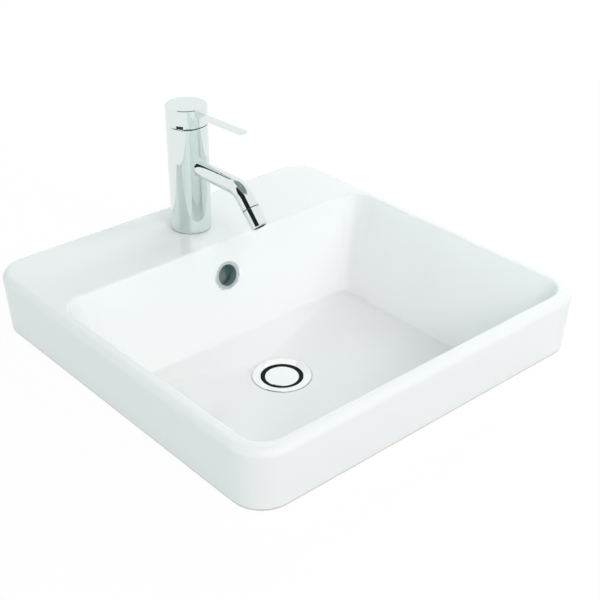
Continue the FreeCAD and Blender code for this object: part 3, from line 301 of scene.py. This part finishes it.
def glaze():
    """White sanitary glaze, a little wavy and orange-peeled, over the bare fired body below and in the
    duct, where the body's dark teal is painted shade.
    """
    finish = Finish("glaze")
    place = finish.place()
    across, deep, height = finish.along(place)
    behind = deep - REAR_LEAN * height - REAR_FOOT
    facing = finish.node("ShaderNodeNewGeometry", output="Normal")
    facing_up = finish.along(facing)[2]
    cloud = finish.speckle(place, scale=7.0, detail=1.0)
    wave = finish.speckle(place, scale=14.0, detail=0.0)
    peel = finish.speckle(place, scale=380.0, detail=1.0)
    grit = finish.speckle(place, scale=1700.0, detail=3.0, roughness=0.7)
    under = finish.ease(0.0 - facing_up, DOWN_EDGE, DOWN_CORE)
    steep = finish.ease(STEEP - facing_up, 0.0, STEEP_BLUR)
    buried = finish.ease(0.0 - height, BURIED_EDGE, BURIED_CORE) * steep
    between = finish.ease(behind, DUCT_EDGE, DUCT_CORE) * (behind < DUCT_BACK)
    inside = between * (abs(across) < DUCT_HALF) * (height > DUCT_SOLE)
    duct_bare_and_shaded = inside * finish.ease(DUCT_TOP - height, 0.0, DUCT_TOP_BLUR)
    bare = under.or_more(buried).or_more(duct_bare_and_shaded)
    glazed = finish.tint(cloud, *GLAZE_TONES)
    fired = finish.tint(grit, *BISCUIT_TONES)
    # Inside the duct the bare body takes a dark teal of painted shade
    bare_body_and_duct_shade = finish.tint(duct_bare_and_shaded, fired, DUCT_SHADE_TONE)
    wavy = finish.relief(wave, depth=0.00035)
    peeled = finish.relief(peel, depth=0.000003, below=wavy)
    return finish.set(
        Base_Color=finish.tint(bare, glazed, bare_body_and_duct_shade),
        Roughness=0.10 + 0.05 * cloud + 0.62 * bare,
        Normal=finish.relief(grit * bare, depth=0.00012, below=peeled),
        IOR=1.52,
    )


def chrome(name, tones):
    """Nickel-chrome plate of a given brightness with a faint polishing haze."""
    finish = Finish(name)
    haze = finish.speckle(finish.place(), scale=90.0, detail=3.0)
    polish = finish.speckle(finish.place(stretch=(1, 1, 0.15)), scale=900.0)
    return finish.set(
        Base_Color=finish.tint(haze, *tones),
        Metallic=1.0,
        Roughness=0.025 + 0.03 * haze,
        Normal=finish.relief(polish, depth=0.0000012),
    )


def overflow_plate():
    """Chrome painted lighter on the overflow ring's face, and down its throat a matt dark teal that is
    painted shade.
    """
    finish = Finish("overflow_plate")
    place = finish.place(OVERFLOW_MIDDLE)
    back, up = finish.along(place)[1:]
    depth = OVERFLOW_SLANT[0] * back + OVERFLOW_SLANT[1] * up
    wide = finish.node("ShaderNodeVectorMath", {"operation": "LENGTH"}, {0: place}, output="Value")
    within = finish.ease(THROAT_RADIUS - wide + depth, 0.0, THROAT_BLUR)
    throat = finish.ease(depth, THROAT_EDGE, THROAT_CORE) * within
    haze = finish.speckle(finish.place(), scale=90.0, detail=3.0)
    skin = finish.speckle(finish.place(), scale=1500.0)
    plate = finish.tint(haze, *PAINTED_BRIGHT_TONES)
    return finish.set(
        # The throat's matt dark teal is painted shade
        Base_Color=finish.tint(throat, plate, THROAT_SHADE_TONE),
        Metallic=1.0 - throat,
        Roughness=0.03 + 0.03 * haze + 0.40 * throat,
        Normal=finish.relief(skin * throat, depth=0.000010),
    )


def aerator_plate():
    """Chrome with a near-black band of painted shade at the seam where the aerator meets the spout."""
    finish = Finish("aerator_plate")
    back, up = finish.along(finish.place(SEAM_MIDDLE))[1:]
    up_spout = SEAM_SLANT[0] * back + SEAM_SLANT[1] * up
    seam = finish.past_zero(up_spout + SEAM_WIDTH, SEAM_BLUR)
    haze = finish.speckle(finish.place(), scale=90.0, detail=3.0)
    plate = finish.tint(haze, *CHROME_TONES)
    return finish.set(
        # The dark band at the seam is painted shade
        Base_Color=finish.tint(seam, plate, SEAM_SHADE_TONE),
        Metallic=1.0 - seam,
        Roughness=0.03 + 0.03 * haze + 0.40 * seam,
    )


def steel():
    """Brushed stainless steel, the grain running along its length."""
    finish = Finish("steel")
    grain = finish.speckle(finish.place(stretch=(1, 1, 0.03)), scale=2600.0)
    patch = finish.speckle(finish.place(), scale=60.0)
    return finish.set(
        Base_Color=finish.tint(grain, *STEEL_TONES),
        Metallic=1.0,
        Roughness=0.24 + 0.12 * patch + 0.08 * grain,
        Normal=finish.relief(grain, depth=0.000008),
    )


def brass(middle):
    """Turned brass: fine tool rings about its own axis and a dull tarnish in patches."""
    finish = Finish("brass")
    rings = finish.node("ShaderNodeTexWave", {"wave_type": "RINGS", "rings_direction": "Z"},
                        {"Vector": finish.place(middle), "Scale": 420.0, "Distortion": 0.6, "Detail": 1.0},
                        output="Fac")
    tarnish = finish.ease(finish.speckle(finish.place(), scale=85.0, detail=4.0), low=0.45, high=0.72)
    return finish.set(
        Base_Color=finish.tint(tarnish, *BRASS_TONES),
        Metallic=1.0,
        Roughness=0.22 + 0.20 * tarnish + 0.06 * rings,
        Normal=finish.relief(rings, depth=0.000010),
    )


def rubber(name, tones):
    """Moulded rubber of a given shade with a fine matt bloom."""
    finish = Finish(name)
    bloom = finish.speckle(finish.place(), scale=240.0, detail=3.0)
    skin = finish.speckle(finish.place(), scale=1800.0)
    return finish.set(
        Base_Color=finish.tint(bloom, *tones),
        Roughness=0.52 + 0.18 * bloom,
        Normal=finish.relief(skin, depth=0.000025),
        Specular_IOR_Level=0.1,
    )


def dark_plastic():
    """Charcoal moulded plastic with a fine spark-eroded skin."""
    finish = Finish("dark_plastic")
    skin = finish.speckle(finish.place(), scale=1500.0)
    shade = finish.speckle(finish.place(), scale=120.0)
    return finish.set(
        Base_Color=finish.tint(shade, *DARK_PLASTIC_TONES),
        Roughness=0.36 + 0.14 * skin,
        Normal=finish.relief(skin, depth=0.000015),
        Specular_IOR_Level=0.2,
    )


def white_plastic():
    """White acetal, slightly mottled by its flow in the mould."""
    finish = Finish("white_plastic")
    flow = finish.speckle(finish.place(stretch=(1, 1, 0.3)), scale=110.0, detail=3.0)
    skin = finish.speckle(finish.place(), scale=1400.0, detail=1.0)
    return finish.set(
        Base_Color=finish.tint(flow, *WHITE_PLASTIC_TONES),
        Roughness=0.38 + 0.10 * flow,
        Normal=finish.relief(skin, depth=0.000008),
    )


def disc_ceramic():
    """Lapped alumina: ivory, nearly a mirror, with tiny darker grains."""
    finish = Finish("disc_ceramic")
    grain = finish.ease(finish.speckle(finish.place(), scale=2400.0), low=0.60, high=0.70)
    return finish.set(
        Base_Color=finish.tint(grain, *DISC_TONES),
        Roughness=0.12 + 0.15 * grain,
        IOR=1.76,
    )


def winding_tree():
    """A wire wound round the Z axis, for the spring and the threads."""
    tree = bpy.data.node_groups.new("winding", "GeometryNodeTree")
    kinds = {"Turns": "Float", "Radius": "Float", "Rise": "Float", "Wire": "Float", "Sides": "Int",
             "Middle": "Vector", "Finish": "Material"}
    for name, kind in kinds.items():
        tree.interface.new_socket(name, in_out="INPUT", socket_type="NodeSocket" + kind)
    tree.interface.new_socket("Winding", in_out="OUTPUT", socket_type="NodeSocketGeometry")
    bench = Bench(tree)
    given = bench.node("NodeGroupInput", output="Turns")
    coil = bench.node("GeometryNodeCurveSpiral", None, {
        "Resolution": 48, "Rotations": given, "Start Radius": given.twin("Radius"),
        "End Radius": given.twin("Radius"), "Height": given.twin("Rise")})
    wire = bench.node("GeometryNodeCurvePrimitiveCircle", {"mode": "RADIUS"},
                      {"Resolution": given.twin("Sides"), "Radius": given.twin("Wire")})
    tube = bench.node("GeometryNodeCurveToMesh", None,
                      {"Curve": coil, "Profile Curve": wire, "Fill Caps": True})
    placed = bench.node("GeometryNodeTransform", None,
                        {"Geometry": tube, "Translation": given.twin("Middle")})
    smooth = bench.node("GeometryNodeSetShadeSmooth", None, {"Geometry": placed})
    whole = bench.node("GeometryNodeRealizeInstances", None, {"Geometry": smooth})
    coated = bench.node("GeometryNodeSetMaterial", None,
                        {"Geometry": whole, "Material": given.twin("Finish")})
    bench.node("NodeGroupOutput", None, {"Winding": coated})
    return tree


def wound(name, tree, **sizes):
    """A plain mesh made by the winding tree."""
    holder = bpy.data.objects.new(name, bpy.data.meshes.new(name))
    bpy.context.scene.collection.objects.link(holder)
    modifier = holder.modifiers.new("winding", "NODES")
    modifier.node_group = tree
    for item in tree.interface.items_tree:
        if item.in_out == "INPUT":
            modifier[item.identifier] = sizes[item.name]
    evaluated = holder.evaluated_get(bpy.context.evaluated_depsgraph_get())
    mesh = bpy.data.meshes.new_from_object(evaluated)
    holder.modifiers.remove(modifier)
    holder.data = mesh
    return holder


def wind_spring(tree, finish):
    """The plug's spring, standing in the guide post."""
    low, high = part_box("plug_spring")
    spring = wound("plug_spring_coil", tree, Turns=SPRING_TURNS, Radius=SPRING_RADIUS,
                   Rise=high.z - low.z - 2 * SPRING_WIRE, Wire=SPRING_WIRE, Sides=SPRING_SIDES,
                   Middle=(0.0, WASTE_MIDDLE[1], low.z + SPRING_WIRE), Finish=finish)
    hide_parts("plug_spring")
    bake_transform(spring)


def cut_thread(name, tree, finish, middle, radius, low, high, pitch):
    """A screw thread standing on a plain shank between two levels."""
    ridge = pitch * RIDGE_SHARE
    thread = wound(name, tree, Turns=(high - low) / pitch, Radius=radius - ridge * SUNK_SHARE,
                   Rise=high - low, Wire=ridge, Sides=RIDGE_SIDES,
                   Middle=(middle[0], middle[1], low), Finish=finish)
    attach(thread, "basin")


def round_corners(half, corner):
    """Points round a square with round corners, on the worktop."""
    points = []
    for quarter in range(4):
        turn = quarter * math.pi / 2
        middle = Matrix.Rotation(turn, 2) @ Vector((half - corner, half - corner))
        for step in range(CORNER_STEPS + 1):
            angle = turn + step / CORNER_STEPS * math.pi / 2
            point = middle + corner * Vector((math.cos(angle), math.sin(angle)))
            points.append((point.x, point.y, WORKTOP_LEVEL))
    return points


def lay_worktop():
    """The pale worktop with its cut-out: white to the camera, with a faint shadow, and clear from below."""
    sheet = bmesh.new()
    edges = []
    for loop in (round_corners(WORKTOP_REACH, WORKTOP_CORNER), round_corners(CUTOUT_HALF, CUTOUT_CORNER)):
        corners = [sheet.verts.new(point) for point in loop]
        edges += [sheet.edges.new(pair) for pair in zip(corners, corners[1:] + corners[:1])]
    bmesh.ops.triangle_fill(sheet, use_beauty=True, edges=edges, normal=(0, 0, 1))
    mesh = bpy.data.meshes.new("worktop")
    sheet.to_mesh(mesh)
    sheet.free()
    worktop = bpy.data.objects.new("worktop", mesh)
    bpy.context.scene.collection.objects.link(worktop)
    material = bpy.data.materials.new("worktop_white")
    material.use_nodes = True
    bench = Bench(material.node_tree)
    bench.tree.nodes.clear()
    ray = bench.node("ShaderNodeLightPath", output="Is Camera Ray")
    board = bench.node("ShaderNodeBsdfDiffuse", None, {"Color": bench.tint(ray, WORKTOP_PALE, WHITE)})
    white = bench.node("ShaderNodeEmission", None, {"Strength": 1.0})
    clear = bench.node("ShaderNodeBsdfTransparent")
    mirrored = ray.twin("Is Glossy Ray") + ray.twin("Is Transmission Ray")
    shown = bench.node("ShaderNodeMixShader", None, {0: WORKTOP_GLOW * ray + mirrored, 1: board, 2: white})
    below = bench.node("ShaderNodeNewGeometry", output="Backfacing")
    whole = bench.node("ShaderNodeMixShader", None, {0: below, 1: shown, 2: clear})
    bench.node("ShaderNodeOutputMaterial", None, {"Surface": whole})
    mesh.materials.append(material)


def mirrored_studio(bench, side, back, up):
    """What the chrome mirrors: white all round, with the flags."""
    left = 0.0 - side
    in_front_of_back = bench.past_zero(FLAG_BACK * left - back, FLAG_SIDE_BLUR)
    behind_front = bench.past_zero(back + FLAG_FRONT * left, FLAG_SIDE_BLUR)
    beside = (left > 0.0) * in_front_of_back * behind_front
    over_foot = bench.past_zero(up - FLAG_FOOT * left, FLAG_LEVEL_BLUR)
    under_top = bench.past_zero(FLAG_TOP - up, FLAG_LEVEL_BLUR)
    overhead = bench.ease(up, OVERHEAD_EDGE, OVERHEAD_CORE)
    grey = overhead.or_more(beside * (up > GREY_FOOT))
    return bench.tint(beside * over_foot * under_top, bench.tint(grey, WHITE, FLAG_GREY), FLAG_DARK)


def light_studio():
    """White to the camera, white with flags to the chrome, and walls and lamps that light all the rest."""
    world = bpy.data.worlds.new("white_studio")
    bpy.context.scene.world = world
    world.use_nodes = True
    bench = Bench(world.node_tree)
    bench.tree.nodes.clear()
    side, back, up = bench.along(bench.node("ShaderNodeTexCoord", output="Generated"))
    ray = bench.node("ShaderNodeLightPath", output="Is Camera Ray")
    seen = bench.tint(ray, mirrored_studio(bench, side, back, up), WHITE)
    shown = bench.node("ShaderNodeBackground", None, {"Color": seen, "Strength": 1.0})
    fill = None
    for toward, colour in ((0.0 - back, FRONT_WALL), (0.0 - side, LEFT_WALL), (back, BACK_WALL)):
        wall = bench.node("ShaderNodeBackground", None,
                          {"Color": colour, "Strength": bench.ease(toward, WALL_EDGE, WALL_CORE)})
        fill = bench.node("ShaderNodeAddShader", None, {0: fill, 1: wall}) if fill else wall
    direct = ray + ray.twin("Is Glossy Ray") + ray.twin("Is Transmission Ray")
    mixed = bench.node("ShaderNodeMixShader", None, {0: direct, 1: fill, 2: shown})
    bench.node("ShaderNodeOutputWorld", None, {"Surface": mixed})
    for name, (place, colour, watts) in LAMPS.items():
        lamp = bpy.data.lights.new(name, "AREA")
        lamp.size = LAMP_SIZE
        lamp.color = colour
        lamp.energy = watts
        holder = bpy.data.objects.new(name, lamp)
        holder.location = place
        holder.rotation_euler = (LAMP_AIM - Vector(place)).to_track_quat("-Z", "Y").to_euler()
        holder.visible_camera = False
        holder.visible_glossy = False
        bpy.context.scene.collection.objects.link(holder)


def aim_camera():
    """The portrait camera, looking from the front left and above."""
    turn, tilt, roll = (math.radians(a) for a in (CAMERA_AZIMUTH, CAMERA_ELEVATION, CAMERA_ROLL))
    back = Vector((math.sin(turn) * math.cos(tilt), -math.cos(turn) * math.cos(tilt), math.sin(tilt)))
    right = Vector((0, 0, 1)).cross(back).normalized()
    up = back.cross(right)
    rolled_right = right * math.cos(roll) + up * math.sin(roll)
    rolled_up = up * math.cos(roll) - right * math.sin(roll)
    camera = bpy.data.objects.new("portrait_camera", bpy.data.cameras.new("portrait_camera"))
    camera.data.lens = CAMERA_LENS
    camera.data.sensor_width = SENSOR_WIDTH
    pose = Matrix((rolled_right, rolled_up, back)).transposed().to_4x4()
    camera.matrix_world = Matrix.Translation(CAMERA_PLACE) @ pose
    bpy.context.scene.collection.objects.link(camera)
    bpy.context.scene.camera = camera


def coat_pieces():
    """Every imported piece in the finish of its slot, or in one of its own."""
    finishes = {
        "glaze": glaze(),
        "chrome": chrome("chrome", CHROME_TONES),
        # bright_chrome is the mixer's chrome painted lighter, as painted light
        "bright_chrome": chrome("bright_chrome", PAINTED_BRIGHT_TONES),
        "steel": steel(),
        "black_rubber": rubber("black_rubber", BLACK_RUBBER_TONES),
        "dark_plastic": dark_plastic(),
        "white_plastic": white_plastic(),
        "disc_ceramic": disc_ceramic(),
    }
    own = {
        "waste_body": finishes["bright_chrome"],
        "plug_cap": finishes["bright_chrome"],
        "overflow_ring": overflow_plate(),
        "aerator_shell": aerator_plate(),
        "base_gasket": rubber("grey_rubber", GREY_RUBBER_TONES),
        "waste_back_nut": brass(WASTE_MIDDLE),
        "cartridge_nut": brass(TAP_MIDDLE),
        "fixing_nut": brass(STUD_MIDDLE),
    }
    for entry in frame["record"]["subparts"]:
        name = entry["node"]
        mesh = frame["nodes"][name].data
        mesh.materials.clear()
        mesh.materials.append(own.get(name) or finishes[entry["material_slot"]])
    return finishes


finishes = coat_pieces()
winding = winding_tree()
wind_spring(winding, finishes["steel"])
cut_thread("waste_tail_thread", winding, finishes["bright_chrome"], WASTE_MIDDLE,
           radius=0.02095, low=-0.1445, high=-0.1170, pitch=0.0023)
cut_thread("stud_thread", winding, finishes["steel"], STUD_MIDDLE,
           radius=0.004, low=0.0070, high=0.0330, pitch=0.00125)
lay_worktop()
light_studio()
aim_camera()
bpy.context.scene.view_settings.view_transform = "Standard"
